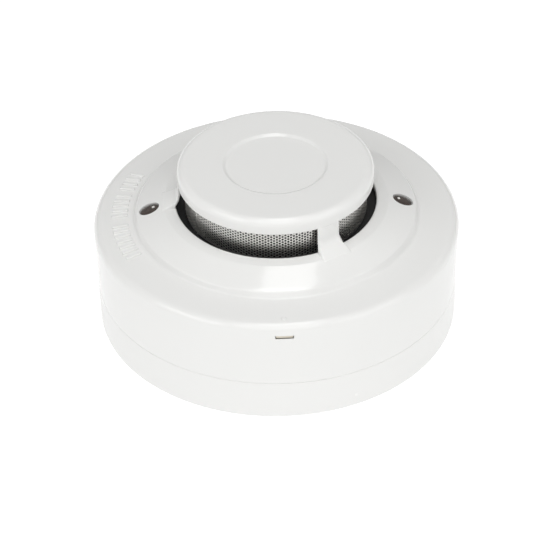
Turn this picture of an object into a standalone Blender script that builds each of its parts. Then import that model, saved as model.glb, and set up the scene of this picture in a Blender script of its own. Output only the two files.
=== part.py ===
"""Ceiling heat detector: a twist-lock base, a sensor head and a lift-off cover.

Units are metres and +Z is up, towards the cap. The origin is the centre of the base's back face, the
face that lies on the ceiling. The front of the detector faces -Y. An azimuth is measured about +Z from
the front, towards +X.
"""

import math

import bmesh
import bpy
from mathutils import Matrix, Vector

MM = 0.001
GAP = 0.3 * MM
TURN = 2.0 * math.pi

# Driving dimensions of the outside
BODY_RADIUS = 50.0 * MM
FOOT_RADIUS = 49.55 * MM
SEAM_HEIGHT = 11.5 * MM
SHOULDER_HEIGHT = 28.7 * MM
SHOULDER_ROUND = 2.2 * MM
STEP_RADIUS = 38.1 * MM
STEP_RUN = 0.9 * MM
STEP_FOOT_HEIGHT = 31.7 * MM
STEP_TOP_HEIGHT = 33.15 * MM
LEDGE_RADIUS = 30.8 * MM
LEDGE_HEIGHT = 36.3 * MM
OPENING_RADIUS = 27.4 * MM
CAP_RADIUS = 26.8 * MM
CAP_RIM_HEIGHT = 43.15 * MM
TOTAL_HEIGHT = 47.6 * MM
CAP_ROUND = 2.4 * MM
RECESS_RADIUS = 13.6 * MM
RECESS_DEPTH = 0.5 * MM
COVER_WALL = 2.0 * MM
ROOF_WALL = 1.7 * MM
CAP_WALL = 1.6 * MM

# Features of the cover
RIB_AZIMUTHS = (29.2, 149.2, 269.2)
RIB_WIDTH = 6.9 * MM
LENS_AZIMUTHS = {"left": -88.7, "right": 88.7}
LENS_PLACE = 34.7 * MM
LENS_HALF_LENGTH = 2.75 * MM
LENS_HALF_WIDTH = 2.2 * MM
LENS_RECESS = -0.35 * MM
WINDOW_WIDTH = 4.9 * MM
WINDOW_BOTTOM = 26.85 * MM
WINDOW_HEIGHT = 1.05 * MM
GROOVE_DEPTH = 1.3 * MM
PIP_PLACE = 46.5 * MM
PIP_RADIUS = 0.75 * MM
MARK_INNER = 40.7 * MM
MARK_OUTER = 45.1 * MM
MARK_WIDTH = 1.0 * MM
MARK_PITCH = 3.15
MARK_GROUPS = ((-117.3, 4), (-103.2, 5), (-84.4, 7))

# Base
FLOOR = 2.0 * MM
BASE_WALL = 2.0 * MM
CABLE_HOLE_RADIUS = 12.0 * MM
FIXING_SLOT_WIDTH = 5.2 * MM
FIXING_SLOT_LENGTH = 10.4 * MM
FIXING_PLACES = ((0.0, 25.0 * MM), (180.0, 25.0 * MM), (90.0, 30.0 * MM), (270.0, 30.0 * MM))
LUG_AZIMUTHS = (60.0, 180.0, 300.0)
LUG_HALF_ANGLE = 9.0
LUG_INNER = 44.5 * MM
LUG_BOTTOM = 7.5 * MM
LUG_TOP = 9.0 * MM
STOP_BOTTOM = 5.2 * MM

# Terminals: one screw, washer and contact strip each
TERMINAL_AZIMUTHS = (45.0, 135.0, 225.0, 315.0)
TERMINAL_PLACE = 29.0 * MM
BLOCK_SIZE = 9.0 * MM
BLOCK_TOP = 4.8 * MM
STRIP_THICKNESS = 0.5 * MM
STRIP_WIDTH = 7.0 * MM
LEAF_START = 37.5 * MM
LEAF_END = 41.5 * MM
LEAF_HEIGHT = 8.0 * MM
SCREW_HOLE = 1.6 * MM
SHANK_RADIUS = 1.25 * MM
SCREW_HEAD_RADIUS = 2.8 * MM
SCREW_HEAD_HEIGHT = 1.8 * MM
WASHER_SIZE = 6.8 * MM
WASHER_THICKNESS = 0.8 * MM

# Chassis of the head
CHASSIS_BOTTOM = 12.0 * MM
CHASSIS_TOP = 13.8 * MM
CHASSIS_RADIUS = 46.6 * MM
CHASSIS_RIM_TOP = 17.0 * MM
CHASSIS_RIM_WALL = 1.5 * MM
RING_INNER = 42.3 * MM
RING_OUTER = 44.0 * MM
RING_BOTTOM = 5.5 * MM
TAB_OUTER = 46.7 * MM
TAB_TOP = 7.2 * MM
TAB_START = -7.6
TAB_END = 6.0
HOOK_AZIMUTHS = (0.0, 120.0, 240.0)
HOOK_WIDTH = 4.0 * MM
HOOK_TOP = 28.0 * MM
NUB_REACH = 48.9 * MM
BOSS_PLACE = 38.0 * MM
BOSS_RADIUS = 3.0 * MM
BLADE_INNER = 38.0 * MM
BLADE_OUTER = 41.0 * MM
BLADE_THICKNESS = 0.8 * MM
BLADE_FOOT = 5.0 * MM

# Board and what stands on it
BOARD_RADIUS = 42.0 * MM
BOARD_BOTTOM = 20.0 * MM
BOARD_TOP = 21.6 * MM
PART_BOTTOM = BOARD_TOP + GAP
BOARD_SCREW_HEAD = 2.2 * MM
LED_RADIUS = 1.5 * MM
LED_TOP = 31.2 * MM

# Optical chamber
PEDESTAL_INNER = 22.2 * MM
PEDESTAL_OUTER = 23.8 * MM
CHAMBER_FLOOR = 32.4 * MM
CHAMBER_FLOOR_TOP = 33.6 * MM
FLANGE_RADIUS = 29.0 * MM
SCREEN_INNER = 24.2 * MM
SCREEN_OUTER = 24.8 * MM
SCREEN_BOTTOM = CHAMBER_FLOOR_TOP + GAP
SCREEN_TOP = 43.9 * MM
LID_THICKNESS = 1.0 * MM
VANE_COUNT = 24
VANE_PLACE = 17.8 * MM
VANE_THICKNESS = 1.0 * MM
VANE_ARM = 4.6 * MM
OPTICS_HEIGHT = 38.0 * MM
THERMISTOR_AZIMUTH = 230.0
THERMISTOR_PLACE = 26.1 * MM
THERMISTOR_BEAD = 0.9 * MM

STEPS = 72
INNER_STEPS = 48
SMALL_STEPS = 16
ORIGIN = Vector((0.0, 0.0, 0.0))

COLOURS = {
    "white_plastic": ((0.86, 0.86, 0.85), 0.28, 0.0),
    "base_plastic": ((0.86, 0.86, 0.85), 0.32, 0.0),
    "ivory_plastic": ((0.72, 0.66, 0.55), 0.45, 0.0),
    "black_plastic": ((0.02, 0.02, 0.022), 0.55, 0.0),
    "screen_metal": ((0.35, 0.35, 0.34), 0.35, 1.0),
    "lens_plastic": ((0.09, 0.065, 0.055), 0.12, 0.0),
    "board": ((0.03, 0.19, 0.08), 0.4, 0.0),
    "brass": ((0.78, 0.60, 0.28), 0.3, 1.0),
    "steel": ((0.60, 0.60, 0.60), 0.3, 1.0),
    "dark_glass": ((0.05, 0.02, 0.08), 0.1, 0.0),
    "led_epoxy": ((0.65, 0.06, 0.05), 0.15, 0.0),
    "relay_plastic": ((0.10, 0.16, 0.34), 0.4, 0.0),
    "capacitor_sleeve": ((0.03, 0.04, 0.10), 0.3, 0.0),
}


# Helpers: shapes and joining

def clear_scene():
    """Remove the objects that the file opened with."""
    for obj in list(bpy.data.objects):
        bpy.data.objects.remove(obj, do_unlink=True)


def make_material(name):
    """One Principled material for one node, from the colour table."""
    colour, roughness, metallic = COLOURS[name]
    material = bpy.data.materials.new(name)
    material.use_nodes = True
    shader = material.node_tree.nodes["Principled BSDF"]
    shader.inputs["Base Color"].default_value = (*colour, 1.0)
    shader.inputs["Roughness"].default_value = roughness
    shader.inputs["Metallic"].default_value = metallic
    return material


def finish_mesh(bm, name):
    """Point the faces out and turn the bmesh into an object."""
    bmesh.ops.recalc_face_normals(bm, faces=bm.faces)
    mesh = bpy.data.meshes.new(name)
    bm.to_mesh(mesh)
    bm.free()
    obj = bpy.data.objects.new(name, mesh)
    bpy.context.scene.collection.objects.link(obj)
    return obj


def turned(name, profile, steps=STEPS):
    """Turn a closed outline of (radius, height) points about the Z axis."""
    bm = bmesh.new()
    rings = []
    for radius, height in profile:
        if radius < 1e-7:
            rings.append([bm.verts.new((0.0, 0.0, height))])
            continue
        angles = [TURN * step / steps for step in range(steps)]
        rings.append([bm.verts.new((radius * math.cos(a), radius * math.sin(a), height)) for a in angles])
    for index, lower in enumerate(rings):
        upper = rings[(index + 1) % len(rings)]
        if len(lower) == 1 and len(upper) == 1:
            continue
        for step in range(steps):
            after = (step + 1) % steps
            corners = [lower[step % len(lower)], lower[after % len(lower)]]
            corners += [upper[after % len(upper)], upper[step % len(upper)]]
            bm.faces.new(list(dict.fromkeys(corners)))
    return finish_mesh(bm, name)


def prism(name, outline, bottom, top):
    """Raise a flat outline of (x, y) points from one height to another."""
    bm = bmesh.new()
    lower = [bm.verts.new((x, y, bottom)) for x, y in outline]
    upper = [bm.verts.new((x, y, top)) for x, y in outline]
    bm.faces.new(lower)
    bm.faces.new(upper)
    for index in range(len(outline)):
        after = (index + 1) % len(outline)
        bm.faces.new((lower[index], lower[after], upper[after], upper[index]))
    return finish_mesh(bm, name)


def slab(name, profile, width, azimuth=0.0):
    """Extrude a (radius, height) outline sideways, centred on the radius at an azimuth."""
    bm = bmesh.new()
    near = [bm.verts.new((-width / 2, -radius, height)) for radius, height in profile]
    far = [bm.verts.new((width / 2, -radius, height)) for radius, height in profile]
    bm.faces.new(near)
    bm.faces.new(far)
    for index in range(len(profile)):
        after = (index + 1) % len(profile)
        bm.faces.new((near[index], near[after], far[after], far[index]))
    bm.transform(Matrix.Rotation(math.radians(azimuth), 4, "Z"))
    return finish_mesh(bm, name)


def cylinder(name, radius, bottom, top, place=ORIGIN, steps=SMALL_STEPS):
    """A plain upright cylinder."""
    angles = [TURN * (step + 0.5) / steps for step in range(steps)]
    outline = [(place.x + radius * math.cos(a), place.y + radius * math.sin(a)) for a in angles]
    return prism(name, outline, bottom, top)


def box(name, size_x, size_y, bottom, top, place=ORIGIN):
    """An upright box centred on a place in plan."""
    half_x, half_y = size_x / 2, size_y / 2
    corners = ((-half_x, -half_y), (half_x, -half_y), (half_x, half_y), (-half_x, half_y))
    return prism(name, [(x + place.x, y + place.y) for x, y in corners], bottom, top)


def around(radius, azimuth, height=0.0):
    """The point at a radius and an azimuth."""
    angle = math.radians(azimuth)
    return Vector((radius * math.sin(angle), -radius * math.cos(angle), height))


def arc(centre_radius, centre_height, size, start, end, count):
    """Points of a rounding in the (radius, height) plane, angles in degrees from outward to up."""
    points = []
    for index in range(count):
        angle = math.radians(start + (end - start) * index / (count - 1))
        points.append((centre_radius + size * math.cos(angle), centre_height + size * math.sin(angle)))
    return points


def sector(name, inner, outer, start, end, bottom, top):
    """A block between two radii and two azimuths."""
    count = max(2, round(abs(end - start) / 3.0) + 1)
    azimuths = [start + (end - start) * index / (count - 1) for index in range(count)]
    outline = [around(inner, azimuth).xy for azimuth in azimuths]
    outline += [around(outer, azimuth).xy for azimuth in reversed(azimuths)]
    return prism(name, outline, bottom, top)


def combine(obj, tool, operation):
    """Join a tool object to another, or cut it out, and drop the tool."""
    modifier = obj.modifiers.new("combine", "BOOLEAN")
    modifier.object = tool
    modifier.operation = operation
    modifier.solver = "EXACT"
    depsgraph = bpy.context.evaluated_depsgraph_get()
    mesh = bpy.data.meshes.new_from_object(obj.evaluated_get(depsgraph))
    obj.modifiers.clear()
    obj.data = mesh
    bpy.data.objects.remove(tool, do_unlink=True)


def join(obj, tool):
    combine(obj, tool, "UNION")


def cut(obj, tool):
    combine(obj, tool, "DIFFERENCE")


def turn_to(obj, azimuth):
    """Turn a mesh made at the front round to an azimuth."""
    obj.data.transform(Matrix.Rotation(math.radians(azimuth), 4, "Z"))
    return obj


def dress(obj, material_name, parent, smooth=True):
    """Give a finished piece its material, shading and parent."""
    obj.data.materials.clear()
    obj.data.materials.append(make_material(material_name))
    obj.data.name = obj.name
    if smooth:
        obj.data.shade_smooth()
        obj.data.set_sharp_from_angle(angle=math.radians(35.0))
    obj.parent = parent
    return obj


def carrier(name, parent=None, place=ORIGIN, azimuth=0.0):
    """An empty on a joint's axis that carries the pieces of one moving body."""
    empty = bpy.data.objects.new(name, None)
    empty.empty_display_size = 10.0 * MM
    empty.location = place
    empty.rotation_euler.z = math.radians(azimuth)
    empty.parent = parent
    bpy.context.scene.collection.objects.link(empty)
    return empty


# Base: housing, terminals, clamps and screws

def side_radius(height):
    """Outer radius of the side wall, which has a slight draft from the foot to the shoulder."""
    return FOOT_RADIUS + (BODY_RADIUS - FOOT_RADIUS) * height / SHOULDER_HEIGHT


def slot_cutter(place, azimuth):
    """A round-ended slot through the floor, its length along the radius."""
    half = FIXING_SLOT_WIDTH / 2
    reach = FIXING_SLOT_LENGTH / 2 - half
    outline = []
    for end, start_angle in ((1.0, 0.0), (-1.0, math.pi)):
        for index in range(8):
            angle = start_angle + math.pi * index / 7
            outline.append((half * math.cos(angle), end * reach + half * math.sin(angle) - place))
    return turn_to(prism("slot", outline, -FLOOR, 2 * FLOOR), azimuth)


def make_mounting_base(parent):
    """Floor, outer wall, terminal blocks and the inner lugs of the twist lock."""
    wall_inner = side_radius(0.0) - BASE_WALL
    chamfer = 0.4 * MM
    top_radius = side_radius(SEAM_HEIGHT)
    profile = [(CABLE_HOLE_RADIUS, 0.0), (FOOT_RADIUS - chamfer, 0.0), (FOOT_RADIUS, chamfer)]
    profile += [(top_radius, SEAM_HEIGHT - chamfer), (top_radius - chamfer, SEAM_HEIGHT)]
    profile += [(wall_inner, SEAM_HEIGHT), (wall_inner, FLOOR), (CABLE_HOLE_RADIUS, FLOOR)]
    base = turned("mounting_base", profile)
    for azimuth in TERMINAL_AZIMUTHS:
        block = box("block", BLOCK_SIZE, BLOCK_SIZE, FLOOR - GAP, BLOCK_TOP, around(TERMINAL_PLACE, 0.0))
        join(base, turn_to(block, azimuth))
        bore_bottom = FLOOR + 0.5 * MM
        cut(base, cylinder("bore", SCREW_HOLE, bore_bottom, 2 * BLOCK_TOP, around(TERMINAL_PLACE, azimuth)))
    for azimuth in LUG_AZIMUTHS:
        start = azimuth - LUG_HALF_ANGLE
        lug_outer = wall_inner + BASE_WALL / 2
        join(base, sector("lug", LUG_INNER, lug_outer, start, azimuth + LUG_HALF_ANGLE, LUG_BOTTOM, LUG_TOP))
        stop = sector("stop", LUG_INNER, lug_outer + GAP, start - 2.0, start + 0.2, STOP_BOTTOM, LUG_TOP + GAP)
        join(base, stop)
    for azimuth, place in FIXING_PLACES:
        cut(base, slot_cutter(place, azimuth))
    return dress(base, "base_plastic", parent)


def make_contact(index, azimuth, parent):
    """Contact strip: flat under the clamp, then rising to a leaf that the head's blade rides on."""
    bottom = BLOCK_TOP + GAP
    inner = TERMINAL_PLACE - 4.0 * MM
    bend = TERMINAL_PLACE + 5.0 * MM
    lower = [(inner, bottom), (bend, bottom), (LEAF_START, LEAF_HEIGHT), (LEAF_END, LEAF_HEIGHT)]
    upper = [(radius - 0.2 * MM * (radius > inner), height + STRIP_THICKNESS) for radius, height in lower]
    upper[-1] = (LEAF_END, LEAF_HEIGHT + STRIP_THICKNESS)
    strip = slab(f"base_contact_{index}", lower + upper[::-1], STRIP_WIDTH, azimuth)
    cut(strip, cylinder("hole", SCREW_HOLE, 0.0, 2 * BLOCK_TOP, around(TERMINAL_PLACE, azimuth)))
    return dress(strip, "brass", parent, smooth=False)


def make_washer(index, parent):
    """Square clamp washer, in its carrier's own frame on the screw's axis."""
    bottom = BLOCK_TOP + GAP + STRIP_THICKNESS + GAP
    top = bottom + WASHER_THICKNESS
    washer = box(f"terminal_washer_{index}", WASHER_SIZE, WASHER_SIZE, bottom, top)
    cut(washer, cylinder("hole", SCREW_HOLE, 0.0, 2 * top))
    return dress(washer, "steel", parent, smooth=False)


def make_terminal_screw(index, parent):
    """Slotted pan-head screw, in its carrier's own frame on its own axis."""
    seat = BLOCK_TOP + 3 * GAP + STRIP_THICKNESS + WASHER_THICKNESS
    crown = seat + SCREW_HEAD_HEIGHT
    tip = FLOOR + 0.9 * MM
    edge = SCREW_HEAD_RADIUS - 0.7 * MM
    profile = [(0.0, tip), (SHANK_RADIUS - 0.3 * MM, tip), (SHANK_RADIUS, tip + 0.5 * MM)]
    profile += [(SHANK_RADIUS, seat), (SCREW_HEAD_RADIUS, seat), (SCREW_HEAD_RADIUS, crown - 0.7 * MM)]
    profile += [(edge, crown), (0.0, crown)]
    screw = turned(f"terminal_screw_{index}", profile, SMALL_STEPS)
    slot_bottom = crown - 0.8 * MM
    cut(screw, box("driver_slot", 4 * SCREW_HEAD_RADIUS, 0.7 * MM, slot_bottom, crown + GAP))
    return dress(screw, "steel", parent)


# Head: chassis, contacts, board and chamber

def make_chassis(parent):
    """Round plate with a bayonet ring below, and a rim, screw bosses and snap hooks above."""
    rim_inner = CHASSIS_RADIUS - CHASSIS_RIM_WALL
    profile = [(0.0, CHASSIS_BOTTOM), (RING_INNER, CHASSIS_BOTTOM), (RING_INNER, RING_BOTTOM)]
    profile += [(RING_OUTER, RING_BOTTOM), (RING_OUTER, CHASSIS_BOTTOM), (CHASSIS_RADIUS, CHASSIS_BOTTOM)]
    profile += [(CHASSIS_RADIUS, CHASSIS_RIM_TOP), (rim_inner, CHASSIS_RIM_TOP)]
    profile += [(rim_inner, CHASSIS_TOP), (0.0, CHASSIS_TOP)]
    chassis = turned("head_chassis", profile)
    ring_middle = (RING_INNER + RING_OUTER) / 2
    for azimuth in LUG_AZIMUTHS:
        start, end = azimuth + TAB_START, azimuth + TAB_END
        join(chassis, sector("tab", ring_middle, TAB_OUTER, start, end, RING_BOTTOM - GAP, TAB_TOP))
        foot = CHASSIS_TOP - GAP
        join(chassis, cylinder("boss", BOSS_RADIUS, foot, BOARD_BOTTOM - GAP, around(BOSS_PLACE, azimuth)))
        pilot = cylinder("pilot", 1.2 * MM, CHASSIS_TOP + 1.5 * MM, BOARD_TOP, around(BOSS_PLACE, azimuth))
        cut(chassis, pilot)
    for azimuth in HOOK_AZIMUTHS:
        arm_inner = rim_inner + 0.1 * MM
        nub_bottom = WINDOW_BOTTOM + 0.15 * MM
        arm = [(arm_inner, CHASSIS_TOP - GAP), (CHASSIS_RADIUS - 0.1 * MM, CHASSIS_TOP - GAP)]
        arm += [(CHASSIS_RADIUS - 0.1 * MM, nub_bottom), (NUB_REACH, nub_bottom)]
        arm += [(NUB_REACH, nub_bottom + 0.6 * MM), (CHASSIS_RADIUS, HOOK_TOP), (arm_inner, HOOK_TOP)]
        join(chassis, slab("hook", arm, HOOK_WIDTH, azimuth))
    for azimuth in TERMINAL_AZIMUTHS:
        inner, outer = BLADE_INNER - GAP, BLADE_OUTER + GAP
        slot = [(inner, 0.0), (outer, 0.0), (outer, BOARD_BOTTOM), (inner, BOARD_BOTTOM)]
        cut(chassis, slab("blade_slot", slot, BLADE_THICKNESS + 2 * GAP, azimuth))
    return dress(chassis, "ivory_plastic", parent)


def make_blade(index, azimuth, parent):
    """Contact blade: an upright plate from the board with a foot that slides on the base's leaf."""
    bottom = LEAF_HEIGHT + STRIP_THICKNESS + GAP
    foot_top = bottom + 0.6 * MM
    plate = [(BLADE_INNER, bottom), (BLADE_OUTER, bottom), (BLADE_OUTER, BOARD_BOTTOM - GAP)]
    plate += [(BLADE_INNER, BOARD_BOTTOM - GAP)]
    blade = slab(f"contact_blade_{index}", plate, BLADE_THICKNESS)
    middle = around((BLADE_INNER + BLADE_OUTER) / 2, 0.0)
    foot_depth = BLADE_OUTER - BLADE_INNER - 0.1 * MM
    join(blade, box("foot", BLADE_FOOT, foot_depth, bottom - 0.05 * MM, foot_top, middle))
    return dress(turn_to(blade, azimuth), "brass", parent, smooth=False)


def make_board(parent):
    """Round circuit board with its three screw holes."""
    board = cylinder("circuit_board", BOARD_RADIUS, BOARD_BOTTOM, BOARD_TOP, steps=INNER_STEPS)
    for azimuth in LUG_AZIMUTHS:
        cut(board, cylinder("hole", 1.5 * MM, 0.0, 2 * BOARD_TOP, around(BOSS_PLACE, azimuth)))
    return dress(board, "board", parent)


def make_board_screw(index, azimuth, parent):
    """Small pan-head screw that holds the board on its boss."""
    tip = CHASSIS_TOP + 2.0 * MM
    shank = 0.85 * MM
    crown = PART_BOTTOM + 1.4 * MM
    profile = [(0.0, tip), (shank - 0.4 * MM, tip), (shank, tip + 0.6 * MM), (shank, PART_BOTTOM)]
    profile += [(BOARD_SCREW_HEAD, PART_BOTTOM), (BOARD_SCREW_HEAD, crown - 0.5 * MM)]
    profile += [(BOARD_SCREW_HEAD - 0.6 * MM, crown), (0.0, crown)]
    screw = turned(f"board_screw_{index}", profile, SMALL_STEPS)
    for size_x, size_y in ((2.4 * MM, 0.5 * MM), (0.5 * MM, 2.4 * MM)):
        cut(screw, box("cross_slot", size_x, size_y, crown - 0.6 * MM, crown + GAP))
    screw.data.transform(Matrix.Translation(around(BOSS_PLACE, azimuth)))
    return dress(screw, "steel", parent)


def make_chamber_base(parent):
    """Black pedestal on the board with the chamber's floor and a flange that closes the air slot below."""
    profile = [(0.0, CHAMBER_FLOOR), (PEDESTAL_INNER, CHAMBER_FLOOR), (PEDESTAL_INNER, PART_BOTTOM)]
    profile += [(PEDESTAL_OUTER, PART_BOTTOM), (PEDESTAL_OUTER, CHAMBER_FLOOR)]
    profile += [(FLANGE_RADIUS, CHAMBER_FLOOR), (FLANGE_RADIUS, CHAMBER_FLOOR_TOP), (0.0, CHAMBER_FLOOR_TOP)]
    chamber_base = turned("chamber_base", profile, INNER_STEPS)
    place = around(THERMISTOR_PLACE, THERMISTOR_AZIMUTH)
    cut(chamber_base, cylinder("lead_hole", 1.4 * MM, CHAMBER_FLOOR - GAP, CHAMBER_FLOOR_TOP + GAP, place))
    return dress(chamber_base, "black_plastic", parent)


def vane_outline():
    """One bent vane of the labyrinth: two arms at an angle, about a place on the radius."""
    half = VANE_THICKNESS / 2
    bend = math.radians(75.0)
    first = Vector((-math.sin(bend / 2), -math.cos(bend / 2)))
    second = Vector((-math.sin(bend / 2), math.cos(bend / 2)))
    knee = Vector((VANE_ARM * 0.35, 0.0))
    side_first = Vector((first.y, -first.x)) * half
    side_second = Vector((second.y, -second.x)) * half
    outer_knee = knee + Vector((half / math.cos(bend / 2), 0.0))
    inner_knee = knee - Vector((half / math.cos(bend / 2), 0.0))
    end_first = knee + first * VANE_ARM
    end_second = knee + second * VANE_ARM
    points = [outer_knee, end_first - side_first, end_first + side_first, inner_knee]
    points += [end_second - side_second, end_second + side_second]
    return [(point.x, point.y - VANE_PLACE) for point in points]


def make_labyrinth(parent):
    """Ring of bent vanes that let air in and keep light out, on a thin floor."""
    floor_top = SCREEN_BOTTOM + 0.7 * MM
    outer = SCREEN_INNER - GAP
    inner = 11.5 * MM
    profile = [(inner, SCREEN_BOTTOM), (outer, SCREEN_BOTTOM), (outer, floor_top), (inner, floor_top)]
    labyrinth = turned("labyrinth", profile, INNER_STEPS)
    top = SCREEN_TOP - LID_THICKNESS - GAP
    for index in range(VANE_COUNT):
        vane = prism("vane", vane_outline(), floor_top - 0.2 * MM, top)
        join(labyrinth, turn_to(vane, 360.0 * index / VANE_COUNT))
    return dress(labyrinth, "black_plastic", parent)


def make_chamber_lid(parent):
    """Lid over the vanes, inside the screen."""
    bottom = SCREEN_TOP - LID_THICKNESS
    lid = cylinder("chamber_lid", SCREEN_INNER - GAP, bottom, SCREEN_TOP, steps=INNER_STEPS)
    return dress(lid, "black_plastic", parent)


def make_screen(parent):
    """Insect screen: a metal band round the chamber."""
    profile = [(SCREEN_INNER, SCREEN_BOTTOM), (SCREEN_OUTER, SCREEN_BOTTOM)]
    profile += [(SCREEN_OUTER, SCREEN_TOP), (SCREEN_INNER, SCREEN_TOP)]
    return dress(turned("insect_screen", profile, INNER_STEPS), "screen_metal", parent)


def make_optic(name, material_name, azimuth, parent):
    """Round-nosed optical element lying level and looking at the chamber's middle, on two legs."""
    radius = 2.3 * MM
    length = 6.0 * MM
    nose = [(across, -ahead) for across, ahead in arc(0.0, 0.0, radius, 0.0, 90.0, 5)]
    nose[-1] = (0.0, -radius)
    profile = [(0.0, length), (radius, length)] + nose
    optic = turned(name, profile, SMALL_STEPS)
    optic.data.transform(Matrix.Rotation(math.radians(90.0), 4, "X"))
    optic.data.transform(Matrix.Translation((0.0, -3.6 * MM, OPTICS_HEIGHT)))
    for side in (-1.0, 1.0):
        place = Vector((side * 1.27 * MM, -8.4 * MM, 0.0))
        leg_bottom = CHAMBER_FLOOR_TOP + GAP
        join(optic, box("leg", 0.6 * MM, 0.6 * MM, leg_bottom, OPTICS_HEIGHT, place))
    return dress(turn_to(optic, azimuth), material_name, parent)


def make_optics_shield(parent):
    """Upright wall that keeps the emitter's light from falling straight on the receiver."""
    top = SCREEN_TOP - LID_THICKNESS - 2.0 * MM
    place = Vector((0.0, 6.0 * MM, 0.0))
    shield = box("optics_shield", 1.2 * MM, 7.0 * MM, CHAMBER_FLOOR_TOP + GAP, top, place)
    return dress(shield, "black_plastic", parent, smooth=False)


def make_thermistor(parent):
    """Heat sensor: a bead on two leads that stands in the air slot."""
    centre = OPTICS_HEIGHT + 1.0 * MM
    bead_points = [(across, centre + along * 1.4) for across, along in arc(0.0, 0.0, THERMISTOR_BEAD, -90, 90, 7)]
    bead_points[0] = (0.0, bead_points[0][1])
    bead_points[-1] = (0.0, bead_points[-1][1])
    bead = turned("thermistor", bead_points, 12)
    for side in (-1.0, 1.0):
        place = Vector((side * 0.45 * MM, 0.0, 0.0))
        join(bead, box("lead", 0.45 * MM, 0.45 * MM, PART_BOTTOM, centre, place))
    turn_to(bead, THERMISTOR_AZIMUTH)
    bead.data.transform(Matrix.Translation(around(THERMISTOR_PLACE, THERMISTOR_AZIMUTH)))
    return dress(bead, "dark_glass", parent)


def make_status_led(side, azimuth, parent):
    """Status light under a lens: a round body with a flange, standing on two leads."""
    body_bottom = LED_TOP - 5.0 * MM
    dome = arc(0.0, LED_TOP - LED_RADIUS, LED_RADIUS, 0.0, 90.0, 4)
    dome[-1] = (0.0, LED_TOP)
    flange = LED_RADIUS + 0.35 * MM
    profile = [(0.0, body_bottom), (flange, body_bottom), (flange, body_bottom + 0.9 * MM)]
    profile += [(LED_RADIUS, body_bottom + 0.9 * MM)] + dome
    led = turned(f"status_led_{side}", profile, SMALL_STEPS)
    for offset in (-1.0, 1.0):
        place = Vector((offset * 0.8 * MM, 0.0, 0.0))
        join(led, box("lead", 0.5 * MM, 0.5 * MM, PART_BOTTOM, body_bottom + 0.4 * MM, place))
    turn_to(led, azimuth)
    led.data.transform(Matrix.Translation(around(LENS_PLACE, azimuth)))
    return dress(led, "led_epoxy", parent)


def make_component(name, material_name, size, azimuth, radius, parent):
    """A boxed component on the board: width across the radius, depth along it, height."""
    width, depth, height = size
    part = box(name, width, depth, PART_BOTTOM, PART_BOTTOM + height, around(radius, 0.0))
    return dress(turn_to(part, azimuth), material_name, parent, smooth=False)


def make_capacitor(parent):
    """Upright electrolytic capacitor."""
    top = PART_BOTTOM + 7.0 * MM
    radius = 3.15 * MM
    profile = [(0.0, PART_BOTTOM), (radius, PART_BOTTOM), (radius, top - 0.4 * MM)]
    profile += [(radius - 0.4 * MM, top), (0.0, top)]
    capacitor = turned("capacitor", profile, 24)
    capacitor.data.transform(Matrix.Translation(around(33.0 * MM, 118.0)))
    return dress(capacitor, "capacitor_sleeve", parent)


# Cover: shell, ribs, cap and lenses

def shell_profile():
    """Closed outline of the skirt, shoulder, slope, step, cone and ledge, outside then inside."""
    bottom = SEAM_HEIGHT + GAP
    chamfer = 0.35 * MM
    skirt_radius = side_radius(bottom)
    outer = [(skirt_radius - chamfer, bottom), (skirt_radius, bottom + chamfer)]
    outer += arc(BODY_RADIUS - SHOULDER_ROUND, SHOULDER_HEIGHT, SHOULDER_ROUND, 0.0, 84.0, 5)
    outer += [(STEP_RADIUS + STEP_RUN, STEP_FOOT_HEIGHT)]
    outer += [(STEP_RADIUS + 0.55 * MM, STEP_FOOT_HEIGHT + 0.2 * MM)]
    outer += [(STEP_RADIUS + 0.1 * MM, STEP_TOP_HEIGHT - 0.15 * MM), (STEP_RADIUS - 0.3 * MM, STEP_TOP_HEIGHT)]
    outer += [(LEDGE_RADIUS, LEDGE_HEIGHT - 0.35 * MM), (LEDGE_RADIUS - 1.0 * MM, LEDGE_HEIGHT - 0.08 * MM)]
    outer += [(OPENING_RADIUS + 0.3 * MM, LEDGE_HEIGHT), (OPENING_RADIUS, LEDGE_HEIGHT - 0.3 * MM)]
    inner_radius = BODY_RADIUS - COVER_WALL
    slope_inside = STEP_FOOT_HEIGHT - ROOF_WALL
    inner = [(OPENING_RADIUS, LEDGE_HEIGHT - ROOF_WALL), (LEDGE_RADIUS - 0.3 * MM, LEDGE_HEIGHT - ROOF_WALL)]
    inner += [(STEP_RADIUS - 0.7 * MM, STEP_TOP_HEIGHT - ROOF_WALL), (STEP_RADIUS + 0.4 * MM, slope_inside)]
    inner += [(inner_radius - 1.2 * MM, slope_inside - 0.8 * MM)]
    inner += [(inner_radius - 0.1 * MM, SHOULDER_HEIGHT - 0.6 * MM)]
    inner += [(skirt_radius - COVER_WALL, bottom)]
    return outer + inner


def cap_profile():
    """Closed outline of the hollow cap with the shallow recess in its top."""
    outer = [(CAP_RADIUS - CAP_WALL, CAP_RIM_HEIGHT), (CAP_RADIUS - 0.1 * MM, CAP_RIM_HEIGHT)]
    outer += arc(CAP_RADIUS - CAP_ROUND, TOTAL_HEIGHT - CAP_ROUND, CAP_ROUND, 0.0, 90.0, 5)
    recess_floor = TOTAL_HEIGHT - RECESS_DEPTH
    outer += [(RECESS_RADIUS + 0.4 * MM, TOTAL_HEIGHT), (RECESS_RADIUS - 0.4 * MM, recess_floor)]
    outer += [(0.0, recess_floor)]
    underside = recess_floor - 1.8 * MM
    inner_radius = CAP_RADIUS - CAP_WALL
    return outer + [(0.0, underside), (inner_radius - 0.8 * MM, underside), (inner_radius, underside - 0.8 * MM)]


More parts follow.
